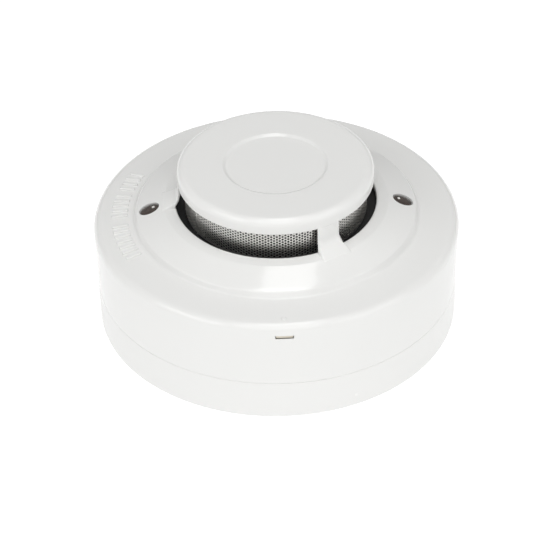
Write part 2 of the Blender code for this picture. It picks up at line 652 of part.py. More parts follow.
def rib_profile():
    """Outline of one rib: straight under the cap, then leaning out to a foot on the ledge."""
    inside = CAP_RADIUS - CAP_WALL + 0.2 * MM
    outside = CAP_RADIUS - 0.2 * MM
    top = CAP_RIM_HEIGHT + 1.0 * MM
    heel = OPENING_RADIUS + 0.3 * MM
    foot = LEDGE_RADIUS - 0.9 * MM
    sunk = LEDGE_HEIGHT - 1.0 * MM
    points = [(inside, top), (outside, top), (outside, LEDGE_HEIGHT + 3.3 * MM)]
    points += [(outside + 0.5 * MM, LEDGE_HEIGHT + 1.7 * MM), (outside + 1.7 * MM, LEDGE_HEIGHT + 0.7 * MM)]
    points += [(foot, LEDGE_HEIGHT - 0.1 * MM), (foot, sunk), (heel, sunk), (heel, LEDGE_HEIGHT - 0.2 * MM)]
    points += [(outside - 0.2 * MM, LEDGE_HEIGHT + 1.6 * MM), (inside + 0.2 * MM, LEDGE_HEIGHT + 4.5 * MM)]
    return points


def cone_height(radius):
    """Height of the inner cone at a radius."""
    run = (STEP_RADIUS - 0.3 * MM - radius) / (STEP_RADIUS - 0.3 * MM - LEDGE_RADIUS)
    return STEP_TOP_HEIGHT + run * (LEDGE_HEIGHT - 0.35 * MM - STEP_TOP_HEIGHT)


def slope_height(radius):
    """Height of the outer slope at a radius."""
    foot_radius = STEP_RADIUS + STEP_RUN
    shoulder_angle = math.radians(84.0)
    edge_radius = BODY_RADIUS - SHOULDER_ROUND * (1.0 - math.cos(shoulder_angle))
    edge_height = SHOULDER_HEIGHT + SHOULDER_ROUND * math.sin(shoulder_angle)
    run = (radius - foot_radius) / (edge_radius - foot_radius)
    return STEP_FOOT_HEIGHT + run * (edge_height - STEP_FOOT_HEIGHT)


def lens_frame(azimuth, clearance=0.0):
    """Placement on the cone, local Z along its outward normal, with a round section made oval."""
    rise = cone_height(LENS_PLACE - 1.0 * MM) - cone_height(LENS_PLACE + 1.0 * MM)
    tilt = math.atan2(rise, 2.0 * MM)
    place = around(LENS_PLACE, azimuth, cone_height(LENS_PLACE))
    turn = Matrix.Rotation(math.radians(azimuth), 4, "Z")
    oval = (LENS_HALF_WIDTH + clearance) / (LENS_HALF_LENGTH + clearance)
    stretch = Matrix.Diagonal((oval, 1.0, 1.0, 1.0))
    return Matrix.Translation(place) @ turn @ Matrix.Rotation(tilt, 4, "X") @ stretch


def make_cover(parent):
    """The white cover in one moulding."""
    cover = turned("head_cover", shell_profile())
    cap = turned("cap", cap_profile(), STEPS)
    for azimuth in RIB_AZIMUTHS:
        join(cap, slab("rib", rib_profile(), RIB_WIDTH, azimuth))
    join(cover, cap)
    for azimuth in LENS_AZIMUTHS.values():
        hole = cylinder("lens_hole", LENS_HALF_LENGTH + GAP, -4.0 * MM, 4.0 * MM, steps=24)
        hole.data.transform(lens_frame(azimuth, GAP))
        cut(cover, hole)
    inner = BODY_RADIUS - COVER_WALL - 0.6 * MM
    groove_top = WINDOW_BOTTOM + 0.5 * MM
    groove_floor = BODY_RADIUS - COVER_WALL + GROOVE_DEPTH
    groove = [(inner, SEAM_HEIGHT - 1.0 * MM), (inner, groove_top)]
    groove += [(groove_floor, groove_top), (groove_floor, SEAM_HEIGHT - 1.0 * MM)]
    window_outer = BODY_RADIUS + 1.0 * MM
    window_inner = inner - 0.4 * MM
    window = [(window_inner, WINDOW_BOTTOM), (window_outer, WINDOW_BOTTOM)]
    window += [(window_outer, WINDOW_BOTTOM + WINDOW_HEIGHT), (window_inner, WINDOW_BOTTOM + WINDOW_HEIGHT)]
    for azimuth in HOOK_AZIMUTHS:
        cut(cover, slab("groove", groove, HOOK_WIDTH + 2 * GAP, azimuth))
        cut(cover, slab("window", window, WINDOW_WIDTH, azimuth))
    add_marks(cover)
    return dress(cover, "white_plastic", parent)


def add_marks(cover):
    """The alignment pip at the front and three groups of plain raised bars on the slope."""
    pip_top = slope_height(PIP_PLACE) + 0.4 * MM
    pip = cylinder("pip", PIP_RADIUS, pip_top - 1.2 * MM, pip_top, around(PIP_PLACE, 0.0), 12)
    join(cover, pip)
    inner, outer = slope_height(MARK_INNER), slope_height(MARK_OUTER)
    raised = 0.5 * MM
    profile = [(MARK_INNER, inner - raised), (MARK_OUTER, outer - raised)]
    profile += [(MARK_OUTER, outer + raised), (MARK_INNER, inner + raised)]
    for start, count in MARK_GROUPS:
        for index in range(count):
            join(cover, slab("mark", profile, MARK_WIDTH, start + index * MARK_PITCH))


def make_lens(side, azimuth, parent):
    """Oval indicator lens, slightly domed, square to the cone and level with it."""
    bottom = LENS_RECESS - 1.4 * MM
    profile = [(0.0, bottom), (LENS_HALF_LENGTH, bottom), (LENS_HALF_LENGTH, LENS_RECESS)]
    profile += [(LENS_HALF_LENGTH * 0.7, LENS_RECESS + 0.25 * MM), (0.0, LENS_RECESS + 0.4 * MM)]
    lens = turned(f"indicator_lens_{side}", profile, 24)
    lens.data.transform(lens_frame(azimuth))
    return dress(lens, "lens_plastic", parent)


def make_terminals(base):
    """Four terminals: a fixed strip each, and a clamp and a screw that move together."""
    for index, azimuth in enumerate(TERMINAL_AZIMUTHS, start=1):
        make_contact(index, azimuth, base)
        place = around(TERMINAL_PLACE, azimuth)
        clamp = carrier(f"clamp_{index}", base, place, azimuth)
        make_washer(index, clamp)
        screw = carrier(f"screw_{index}", clamp)
        make_terminal_screw(index, screw)


def make_head(head):
    """Everything that turns with the head under the cover."""
    make_chassis(head)
    for index, azimuth in enumerate(TERMINAL_AZIMUTHS, start=1):
        make_blade(index, azimuth, head)
    make_board(head)
    for index, azimuth in enumerate(LUG_AZIMUTHS, start=1):
        make_board_screw(index, azimuth, head)
    make_chamber_base(head)
    make_labyrinth(head)
    make_chamber_lid(head)
    make_screen(head)
    make_optic("infrared_emitter", "dark_glass", 125.0, head)
    make_optic("photodiode", "dark_glass", 235.0, head)
    make_optics_shield(head)
    make_thermistor(head)
    for side, azimuth in LENS_AZIMUTHS.items():
        make_status_led(side, azimuth, head)
    make_component("relay", "relay_plastic", (12.0 * MM, 8.0 * MM, 6.0 * MM), 0.0, 33.0 * MM, head)
    make_component("microcontroller", "black_plastic", (9.0 * MM, 9.0 * MM, 1.4 * MM), 330.0, 33.0 * MM, head)
    make_component("rectifier", "black_plastic", (7.0 * MM, 5.0 * MM, 2.6 * MM), 152.0, 32.5 * MM, head)
    make_capacitor(head)


def main():
    clear_scene()
    base = carrier("base")
    make_mounting_base(base)
    make_terminals(base)
    head = carrier("head", base)
    make_head(head)
    cover = carrier("cover", head)
    make_cover(cover)
    for side, azimuth in LENS_AZIMUTHS.items():
        make_lens(side, azimuth, cover)
    bpy.context.view_layer.update()


main()
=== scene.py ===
"""Looks of the ceiling heat detector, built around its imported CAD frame.

Metres, +Z up, the front of the detector faces -Y. An azimuth is measured about +Z from the front,
towards +X. Outlines of turned pieces are (radius, height, rounding) points in millimetres.
"""
import math

import bmesh
import bpy
from mathutils import Matrix, Vector


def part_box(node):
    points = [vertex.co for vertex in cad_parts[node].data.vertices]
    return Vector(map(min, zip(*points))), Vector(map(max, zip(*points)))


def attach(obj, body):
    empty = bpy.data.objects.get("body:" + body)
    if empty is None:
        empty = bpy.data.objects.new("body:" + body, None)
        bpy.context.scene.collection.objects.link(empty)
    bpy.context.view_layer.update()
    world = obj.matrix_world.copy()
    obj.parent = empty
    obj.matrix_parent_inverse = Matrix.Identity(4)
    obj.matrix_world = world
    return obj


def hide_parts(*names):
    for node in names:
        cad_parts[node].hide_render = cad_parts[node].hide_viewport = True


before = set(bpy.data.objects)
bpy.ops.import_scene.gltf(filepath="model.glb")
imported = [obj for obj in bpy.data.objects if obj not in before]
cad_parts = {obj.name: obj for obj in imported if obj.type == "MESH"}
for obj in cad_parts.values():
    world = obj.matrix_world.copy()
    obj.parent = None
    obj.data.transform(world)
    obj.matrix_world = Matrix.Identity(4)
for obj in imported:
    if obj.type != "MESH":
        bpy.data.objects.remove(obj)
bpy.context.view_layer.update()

MM = 0.001
TURN = 2.0 * math.pi
STEPS = 240
SHARP_ANGLE = math.radians(28.0)


def size_of(node):
    """Lowest and highest corner of a CAD node, in millimetres."""
    low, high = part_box(node)
    return low / MM, high / MM


# Main sizes, read from the frame
cover_low, cover_high = size_of("head_cover")
screen_low, screen_high = size_of("insect_screen")
BODY = cover_high.x
TOP = cover_high.z
SEAM = (size_of("mounting_base")[1].z + cover_low.z) / 2
BOARD_TOP = size_of("circuit_board")[1].z
FOOT = 49.55
SHOULDER = 28.7
SHOULDER_TOP = 30.6
STEP_FOOT = (39.05, 31.65)
STEP_TOP = (38.15, 33.2)
LEDGE_EDGE = (30.7, 36.02)
TERMINAL_AZIMUTHS = (45.0, 135.0, 225.0, 315.0)
LUG_AZIMUTHS = (60.0, 180.0, 300.0)
HOOK_AZIMUTHS = (0.0, 120.0, 240.0)
RIB_AZIMUTHS = (29.2, 149.2, 269.2)
LENS_AZIMUTHS = {"left": -88.7, "right": 88.7}
LENS_RADIUS = 34.7
LENS_OVAL = 0.81
TERMINAL_RADIUS = 29.0
BLADE_RADIUS = 39.5
BOARD_SCREW_RADIUS = 38.0
THERMISTOR_PLACE = (26.1, 230.0)
PIP_RADIUS = 46.5
BAR_RADII = (40.7, 45.1)
BAR_PITCH = 3.15
BAR_GROUPS = ((-117.3, 4), (-103.2, 5), (-84.4, 7))
FIXING_SLOTS = ((0.0, 25.0), (180.0, 25.0), (90.0, 30.0), (270.0, 30.0))


# Geometry helpers

def fillet(points, step=9.0):
    """Closed outline from (radius, height, rounding) corners, each rounded with its own arc."""
    outline = []
    count = len(points)
    for index, (x, y, rounding) in enumerate(points):
        corner = Vector((x, y))
        before = Vector(points[index - 1][:2]) - corner
        after = Vector(points[(index + 1) % count][:2]) - corner
        if rounding <= 0.0:
            outline.append(corner)
            continue
        turn = math.pi - before.angle(after)
        reach = rounding * math.tan(turn / 2)
        limit = 0.48 * min(before.length, after.length)
        if reach > limit:
            rounding *= limit / reach
            reach = limit
        start = corner + before.normalized() * reach
        middle = (before.normalized() + after.normalized()).normalized()
        centre = corner + middle * (rounding / math.cos(turn / 2))
        pieces = max(2, math.ceil(math.degrees(turn) / step))
        spoke = start - centre
        side = 1.0 if before.x * after.y - before.y * after.x < 0.0 else -1.0
        for piece in range(pieces + 1):
            angle = side * turn * piece / pieces
            cos_a, sin_a = math.cos(angle), math.sin(angle)
            x_turned = spoke.x * cos_a - spoke.y * sin_a
            y_turned = spoke.x * sin_a + spoke.y * cos_a
            outline.append(centre + Vector((x_turned, y_turned)))
    return outline


def divide(outline, longest=1.6):
    """Outline with its long straight runs divided, so that shading stays even."""
    result = []
    for index, point in enumerate(outline):
        after = outline[(index + 1) % len(outline)]
        pieces = max(1, math.ceil((after - point).length / longest))
        result += [point.lerp(after, piece / pieces) for piece in range(pieces)]
    return result


def finish_mesh(bm, name):
    """Turn a bmesh into a linked object and free it."""
    bmesh.ops.recalc_face_normals(bm, faces=bm.faces)
    mesh = bpy.data.meshes.new(name)
    bm.to_mesh(mesh)
    bm.free()
    obj = bpy.data.objects.new(name, mesh)
    bpy.context.scene.collection.objects.link(obj)
    return obj


def turned(name, points, steps=STEPS, longest=1.6, rounding_step=9.0):
    """Turn a closed outline in millimetres about the Z axis."""
    bm = bmesh.new()
    rings = []
    for point in divide(fillet(points, rounding_step), longest):
        radius, height = max(point.x, 0.0) * MM, point.y * MM
        if radius < 1e-7:
            rings.append([bm.verts.new((0.0, 0.0, height))])
            continue
        angles = [TURN * step / steps for step in range(steps)]
        rings.append([bm.verts.new((radius * math.cos(a), radius * math.sin(a), height))
                      for a in angles])
    for index, lower in enumerate(rings):
        upper = rings[(index + 1) % len(rings)]
        if len(lower) == 1 and len(upper) == 1:
            continue
        for step in range(steps):
            after = (step + 1) % steps
            corners = [lower[step % len(lower)], lower[after % len(lower)]]
            corners += [upper[after % len(upper)], upper[step % len(upper)]]
            bm.faces.new(list(dict.fromkeys(corners)))
    bmesh.ops.remove_doubles(bm, verts=bm.verts, dist=1e-8)
    return finish_mesh(bm, name)


def prism(name, outline, bottom, top, bevel=0.0):
    """Raise a flat (x, y) outline in millimetres, with rounded edges."""
    bm = bmesh.new()
    lower = [bm.verts.new((x * MM, y * MM, bottom * MM)) for x, y in outline]
    upper = [bm.verts.new((x * MM, y * MM, top * MM)) for x, y in outline]
    bm.faces.new(lower)
    bm.faces.new(upper)
    for index in range(len(outline)):
        after = (index + 1) % len(outline)
        bm.faces.new((lower[index], lower[after], upper[after], upper[index]))
    bmesh.ops.recalc_face_normals(bm, faces=bm.faces)
    if bevel > 0.0:
        sharp = [edge for edge in bm.edges if edge.calc_face_angle() > 0.6]
        bmesh.ops.bevel(bm, geom=sharp, offset=bevel * MM, segments=3, profile=0.5, affect="EDGES")
    return finish_mesh(bm, name)


def block(name, size, centre, bottom, top, bevel=0.15):
    """A box with rounded edges, centred on a place in plan."""
    x, y = size[0] / 2, size[1] / 2
    outline = [(-x, -y), (x, -y), (x, y), (-x, y)]
    return prism(name, [(px + centre[0], py + centre[1]) for px, py in outline], bottom, top, bevel)


def slab(name, profile, width, bevel=0.0):
    """Extrude a (radius, height) outline sideways at the front."""
    obj = prism(name, [(radius, height) for radius, height in profile], -width / 2, width / 2, bevel)
    obj.data.transform(Matrix(((0, 0, 1, 0), (-1, 0, 0, 0), (0, 1, 0, 0), (0, 0, 0, 1))))
    obj.data.update()
    bm = bmesh.new()
    bm.from_mesh(obj.data)
    bmesh.ops.recalc_face_normals(bm, faces=bm.faces)
    bm.to_mesh(obj.data)
    bm.free()
    return obj


def turn_to(obj, azimuth):
    """Turn a mesh made at the front round to an azimuth."""
    obj.data.transform(Matrix.Rotation(math.radians(azimuth), 4, "Z"))
    return obj


def shift(obj, x=0.0, y=0.0, z=0.0):
    """Move a mesh by millimetres."""
    obj.data.transform(Matrix.Translation((x * MM, y * MM, z * MM)))
    return obj


def around(radius, azimuth):
    """The (x, y) point in millimetres at a radius and an azimuth."""
    angle = math.radians(azimuth)
    return radius * math.sin(angle), -radius * math.cos(angle)


def sector(inner, outer, start, end):
    """Flat outline in millimetres between two radii and two azimuths."""
    count = max(2, round((end - start) / 1.5) + 1)
    azimuths = [start + (end - start) * index / (count - 1) for index in range(count)]
    outline = [around(inner, azimuth) for azimuth in azimuths]
    return outline + [around(outer, azimuth) for azimuth in reversed(azimuths)]


def ribbon(run, thickness):
    """Closed outline of a strip of even thickness above a line of points."""
    points = [Vector(point) for point in run]
    upper = []
    for index, point in enumerate(points):
        before = (point - points[index - 1]).normalized() if index else (points[1] - point).normalized()
        after = (points[index + 1] - point).normalized() if index + 1 < len(points) else before
        along = (before + after).normalized()
        normal = Vector((-along.y, along.x))
        upper.append(point + normal * (thickness / max(0.3, normal.dot(Vector((-before.y, before.x))))))
    return [tuple(point) for point in points + upper[::-1]]


def combine(obj, tool, operation):
    """Join a tool object to another, or cut it out, and drop the tool."""
    modifier = obj.modifiers.new("combine", "BOOLEAN")
    modifier.object = tool
    modifier.operation = operation
    modifier.solver = "EXACT"
    depsgraph = bpy.context.evaluated_depsgraph_get()
    mesh = bpy.data.meshes.new_from_object(obj.evaluated_get(depsgraph))
    obj.modifiers.clear()
    obj.data = mesh
    bpy.data.objects.remove(tool, do_unlink=True)


def merge(name, objects):
    """Put several meshes into one object, each still its own closed shell."""
    bm = bmesh.new()
    for obj in objects:
        bm.from_mesh(obj.data)
        bpy.data.objects.remove(obj, do_unlink=True)
    return finish_mesh(bm, name)


def piece(obj, material, body, slot, replaced=()):
    """Give a finished mesh its shading, material, body and the CAD nodes it stands for. The slot is not used."""
    obj.data.materials.clear()
    obj.data.materials.append(material)
    obj.data.shade_smooth()
    obj.data.set_sharp_from_angle(angle=SHARP_ANGLE)
    obj.data.name = obj.name
    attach(obj, body)
    if replaced:
        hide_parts(*replaced)
    return obj


# Materials

def node(tree, kind, **values):
    """Add a shader node and set its inputs or properties by name."""
    new = tree.nodes.new(kind)
    for name, value in values.items():
        key = name.replace("_", " ")
        if key in new.inputs:
            new.inputs[key].default_value = value
        else:
            setattr(new, name, value)
    return new


def material(name, colour, roughness=0.4, metallic=0.0, grain=1800.0, depth=0.01, variation=0.02,
             roughness_spread=0.06, patch=60.0, **sockets):
    """A Principled material with fine grain in its bump and slow drift in its colour and roughness."""
    new = bpy.data.materials.new(name)
    new.use_nodes = True
    tree = new.node_tree
    shader = tree.nodes["Principled BSDF"]
    place = node(tree, "ShaderNodeTexCoord")
    drift = node(tree, "ShaderNodeTexNoise", Scale=patch, Detail=3.0)
    tree.links.new(place.outputs["Object"], drift.inputs["Vector"])
    tint = node(tree, "ShaderNodeMix", data_type="RGBA")
    tint.inputs["A"].default_value = (*[c * (1.0 - variation) for c in colour], 1.0)
    tint.inputs["B"].default_value = (*[min(1.0, c * (1.0 + variation)) for c in colour], 1.0)
    tree.links.new(drift.outputs["Fac"], tint.inputs["Factor"])
    tree.links.new(tint.outputs["Result"], shader.inputs["Base Color"])
    shine = node(tree, "ShaderNodeMapRange")
    shine.inputs["To Min"].default_value = roughness - roughness_spread / 2
    shine.inputs["To Max"].default_value = roughness + roughness_spread / 2
    tree.links.new(drift.outputs["Fac"], shine.inputs["Value"])
    tree.links.new(shine.outputs["Result"], shader.inputs["Roughness"])
    fine = node(tree, "ShaderNodeTexNoise", Scale=grain, Detail=2.0)
    tree.links.new(place.outputs["Object"], fine.inputs["Vector"])
    bump = node(tree, "ShaderNodeBump", Strength=0.25, Distance=depth * MM)
    tree.links.new(fine.outputs["Fac"], bump.inputs["Height"])
    tree.links.new(bump.outputs["Normal"], shader.inputs["Normal"])
    shader.inputs["Metallic"].default_value = metallic
    for socket, value in sockets.items():
        shader.inputs[socket.replace("_", " ")].default_value = value
    return new


WHITE = material("white_plastic", (0.83, 0.83, 0.815), 0.09, grain=1500.0, depth=0.006, variation=0.008,
                 roughness_spread=0.02)
BASE_WHITE = material("base_plastic", (0.83, 0.83, 0.815), 0.26, grain=1500.0, depth=0.015, variation=0.008)
IVORY = material("chassis_plastic", (0.80, 0.74, 0.63), 0.45, grain=900.0, depth=0.03)
BLACK = material("chamber_plastic", (0.012, 0.012, 0.013), 0.5, grain=1200.0, depth=0.03)
SCREEN = material("screen_metal", (0.85, 0.84, 0.81), 0.29, 0.97, grain=2500.0, depth=0.01, variation=0.06)
LENS = material("lens_plastic", (0.06, 0.045, 0.038), 0.1, grain=700.0, depth=0.03, variation=0.6, patch=1100.0,
                Coat_Weight=0.6, Coat_Roughness=0.04)
# Pale colour of the bead set in each lens: a painted highlight, a glint dot in place of a reflection of a light.
LENS_GLINT = material("lens_tip", (0.85, 0.83, 0.80), 0.15, grain=900.0, depth=0.01)
BOARD = material("board", (0.018, 0.13, 0.05), 0.34, grain=700.0, depth=0.01, variation=0.12, Coat_Weight=0.4)
MASKED_COPPER = material("masked_copper", (0.04, 0.23, 0.09), 0.3, grain=700.0, depth=0.01, Coat_Weight=0.4)
SOLDER = material("solder", (0.62, 0.62, 0.60), 0.25, 1.0, grain=600.0, depth=0.02, variation=0.08)
BRASS = material("brass", (0.76, 0.56, 0.24), 0.28, 1.0, grain=1400.0, depth=0.01, variation=0.05)
STEEL = material("steel", (0.58, 0.58, 0.57), 0.27, 1.0, grain=1600.0, depth=0.01, variation=0.05)
EPOXY = material("black_epoxy", (0.016, 0.016, 0.017), 0.55, grain=1800.0, depth=0.02, variation=0.1)
DARK_EPOXY = material("dark_epoxy", (0.03, 0.02, 0.035), 0.15, grain=900.0, depth=0.01, Coat_Weight=0.5)
RED_EPOXY = material("red_epoxy", (0.55, 0.03, 0.025), 0.15, grain=900.0, depth=0.01, Coat_Weight=0.5)
CERAMIC = material("chip_ceramic", (0.45, 0.34, 0.20), 0.5, grain=1800.0, depth=0.01, variation=0.08)
RELAY = material("relay_case", (0.05, 0.10, 0.30), 0.42, grain=1200.0, depth=0.02)
SLEEVE = material("capacitor_sleeve", (0.02, 0.025, 0.06), 0.28, grain=500.0, depth=0.01)


# Cover: shell, ribs, cap, window, marks and lenses

def side_radius(height):
    """Radius of the outer side at a height."""
    return FOOT + (BODY - FOOT) * height / SHOULDER


def make_cover():
    """The white cover in one moulding, with fine roundings."""
    bottom = SEAM + 0.02
    skirt = side_radius(bottom)
    shell = [(skirt, bottom, 0.12), (BODY, SHOULDER_TOP, 2.4), (*STEP_FOOT, 0.9), (*STEP_TOP, 0.8)]
    shell += [(*LEDGE_EDGE, 1.6), (27.4, 36.38, 0.45), (27.4, 34.6, 0.2), (30.5, 34.6, 0.5), (37.4, 31.5, 0.5)]
    shell += [(38.5, 30.3, 0.5), (46.8, 29.2, 0.8), (47.95, 28.0, 0.5), (skirt - 2.0, bottom, 0.2)]
    cover = turned("cover_shell", shell)
    cap = [(25.2, 43.15, 0.2), (26.72, 43.15, 0.35), (26.8, TOP, 2.5), (14.25, TOP, 0.6)]
    cap += [(13.45, TOP - 0.5, 0.6), (0.0, TOP - 0.5, 0.0), (0.0, TOP - 2.3, 0.0), (25.2, TOP - 2.3, 0.8)]
    cap_piece = turned("cap", cap)
    for azimuth in RIB_AZIMUTHS:
        combine(cap_piece, turn_to(make_rib(), azimuth), "UNION")
    combine(cover, cap_piece, "UNION")
    for azimuth in LENS_AZIMUTHS.values():
        hole = turned("hole", [(0, -4, 0), (2.95, -4, 0), (2.95, 4, 0), (0, 4, 0)], 48)
        hole.data.transform(lens_frame(azimuth))
        combine(cover, hole, "DIFFERENCE")
    for azimuth in HOOK_AZIMUTHS:
        window = [(44.0, 26.85), (52.0, 26.85), (52.0, 27.9), (44.0, 27.9)]
        combine(cover, turn_to(slab("window", window, 4.9), azimuth), "DIFFERENCE")
        groove = [(46.5, 9.0), (49.52, 9.0), (49.72, 27.4), (46.5, 27.4)]
        combine(cover, turn_to(slab("groove", groove, 4.6), azimuth), "DIFFERENCE")
    cover.name = "head_cover_fine"
    return piece(cover, WHITE, "cover", "cover_plastic", ["head_cover"])


def make_rib():
    """One rib, narrower inside: straight under the cap, then leaning out to a flared foot."""
    points = [(25.7, 44.4, 0), (26.62, 44.4, 0), (26.68, 38.3, 2.2), (31.2, 35.86, 0.4), (31.2, 35.0, 0)]
    points += [(27.7, 35.0, 0), (27.7, 36.1, 0.5), (26.4, 38.0, 1.5), (25.75, 40.8, 2.0)]
    rib = slab("rib", [tuple(point) for point in fillet(points, 8.0)], 6.9, 0.35)
    for vertex in rib.data.vertices:
        beyond = -vertex.co.y / MM - 26.7
        flare = 0.2 * max(0.0, 37.2 - vertex.co.z / MM)
        vertex.co.x *= 1.0 + 0.14 * min(beyond, 0.0) + flare
    return rib


def cone_height(radius):
    """Height of the inner cone at a radius."""
    rise = (LEDGE_EDGE[1] - STEP_TOP[1]) / (STEP_TOP[0] - LEDGE_EDGE[0])
    return STEP_TOP[1] + (STEP_TOP[0] - radius) * rise


def slope_height(radius):
    """Height of the outer slope at a radius."""
    fall = (STEP_FOOT[1] - SHOULDER_TOP) / (BODY - STEP_FOOT[0])
    return STEP_FOOT[1] - (radius - STEP_FOOT[0]) * fall


def lens_frame(azimuth):
    """Placement on the cone, local Z along its outward normal, with a round section made oval."""
    tilt = math.atan2(cone_height(34.0) - cone_height(35.0), 1.0)
    x, y = around(LENS_RADIUS, azimuth)
    place = Matrix.Translation((x * MM, y * MM, cone_height(LENS_RADIUS) * MM))
    turn = Matrix.Rotation(math.radians(azimuth), 4, "Z")
    return place @ turn @ Matrix.Rotation(tilt, 4, "X") @ Matrix.Diagonal((LENS_OVAL, 1.0, 1.0, 1.0))


def make_lens(side, azimuth):
    """Smoked oval lens, and a pale bead under its face: a painted highlight, a glint dot that stands in for a
    reflection of a light.
    """
    points = [(0.0, -1.75, 0), (2.75, -1.75, 0.1), (2.75, -0.35, 0.3), (1.5, 0.0, 1.5), (0.0, 0.05, 0)]
    lens = turned(f"indicator_lens_{side}_fine", points, 48, 0.5)
    lens.data.transform(lens_frame(azimuth))
    piece(lens, LENS, "cover", "lens_plastic", [f"indicator_lens_{side}"])
    # Pale bead just under the lens face: a painted highlight dot, standing in for a reflection of a light.
    points = [(0.0, -0.4, 0), (0.42, -0.4, 0.1), (0.42, 0.2, 0.25), (0.0, 0.25, 0)]
    painted_glint = shift(turned(f"indicator_lens_{side}_tip", points, 20, 0.3), 0.0, 1.25)
    painted_glint.data.transform(lens_frame(azimuth))
    piece(painted_glint, LENS_GLINT, "cover", "lens_plastic")


def make_marks():
    """The alignment pip, and three groups of plain raised bars on the left of the slope."""
    height = slope_height(PIP_RADIUS)
    pip = turned("pip", [(0, height - 1, 0), (0.75, height - 1, 0), (0.75, height + 0.2, 0.5),
                         (0, height + 0.2, 0)], 32, 0.4)
    piece(shift(pip, *around(PIP_RADIUS, 0.0)), WHITE, "cover", "cover_plastic")
    inner, outer = BAR_RADII
    low, high = slope_height(inner), slope_height(outer)
    profile = [(inner, low - 0.4), (outer, high - 0.4), (outer, high + 0.5), (inner, low + 0.5)]
    bars = []
    for start, count in BAR_GROUPS:
        for index in range(count):
            bars.append(turn_to(slab("bar", profile, 1.0, 0.26), start + BAR_PITCH * index))
    piece(merge("raised_bars", bars), WHITE, "cover", "cover_plastic")


# Base

def make_base():
    """Floor, side wall, terminal blocks, twist-lock lugs with their stops, and the fixing slots."""
    top = SEAM - 0.02
    points = [(12.0, 0.0, 0.3), (FOOT, 0.0, 0.5), (side_radius(top), top, 0.12), (47.55, top, 0.3)]
    points += [(47.55, 2.0, 0.8), (12.0, 2.0, 0.3)]
    base = turned("mounting_base_fine", points)
    for azimuth in TERMINAL_AZIMUTHS:
        combine(base, turn_to(block("block", (9.0, 9.0), (0.0, -TERMINAL_RADIUS), 1.5, 4.8, 0.4), azimuth), "UNION")
        bore = turned("bore", [(0, 2.5, 0), (1.6, 2.5, 0), (1.6, 9, 0), (0, 9, 0)], 31)
        combine(base, shift(bore, *around(TERMINAL_RADIUS, azimuth)), "DIFFERENCE")
    for azimuth in LUG_AZIMUTHS:
        lug = prism("lug", sector(44.5, 48.4, azimuth - 9.0, azimuth + 9.0), 7.5, 9.0, 0.15)
        combine(base, lug, "UNION")
        stop = prism("stop", sector(44.5, 48.6, azimuth - 11.0, azimuth - 8.8), 5.2, 9.3, 0.15)
        combine(base, stop, "UNION")
    for azimuth, place in FIXING_SLOTS:
        combine(base, turn_to(prism("slot", slot_outline(5.2, 10.4, place), -1.0, 3.1), azimuth), "DIFFERENCE")
    return piece(base, BASE_WHITE, "base", "base_plastic", ["mounting_base"])


def slot_outline(width, length, place):
    """Round-ended slot along the radius, centred at a radius on the front side."""
    half, reach = width / 2, (length - width) / 2
    outline = []
    for end in (1.0, -1.0):
        for step in range(13):
            angle = math.pi * step / 12 + (0.0 if end > 0.0 else math.pi)
            outline.append((half * math.cos(angle), half * math.sin(angle) + end * reach - place))
    return outline


def make_terminal(index, azimuth):
    """Contact strip, clamp washer and slotted screw of one terminal."""
    strip_bottom = 5.1
    run = [(25.0, strip_bottom), (34.0, strip_bottom), (37.5, 8.0), (41.5, 8.0)]
    strip = slab("strip", ribbon(run, 0.5), 7.0, 0.08)
    turn_to(strip, azimuth)
    hole = turned("hole", [(0, 2, 0), (1.6, 2, 0), (1.6, 9, 0), (0, 9, 0)], 31)
    combine(strip, shift(hole, *around(TERMINAL_RADIUS, azimuth)), "DIFFERENCE")
    strip.name = f"base_contact_{index}_fine"
    piece(strip, BRASS, "base", "brass", [f"base_contact_{index}"])
    low, high = size_of(f"terminal_washer_{index}")
    washer = block(f"terminal_washer_{index}_fine", (6.8, 6.8), (0.0, -TERMINAL_RADIUS), low.z, high.z, 0.12)
    hole = turned("hole", [(0, 2, 0), (1.6, 2, 0), (1.6, 9, 0), (0, 9, 0)], 31)
    combine(washer, shift(hole, *around(TERMINAL_RADIUS, 0.0)), "DIFFERENCE")
    piece(turn_to(washer, azimuth), STEEL, f"clamp_{index}", "steel", [f"terminal_washer_{index}"])
    low, high = size_of(f"terminal_screw_{index}")
    seat = high.z - 1.8
    points = [(0, low.z, 0), (0.95, low.z, 0.1), (1.25, low.z + 0.5, 0.1), (1.25, seat, 0.15), (2.8, seat, 0.1)]
    points += [(2.8, high.z, 0.8), (0, high.z, 0)]
    screw = turned(f"terminal_screw_{index}_fine", points, 48, 0.8)
    combine(screw, block("driver_slot", (8.0, 0.7), (0.0, 0.0), high.z - 0.8, high.z + 1.0, 0.05), "DIFFERENCE")
    shift(turn_to(screw, azimuth), *around(TERMINAL_RADIUS, azimuth))
    piece(screw, STEEL, f"screw_{index}", "steel", [f"terminal_screw_{index}"])


# Head: chassis and contacts

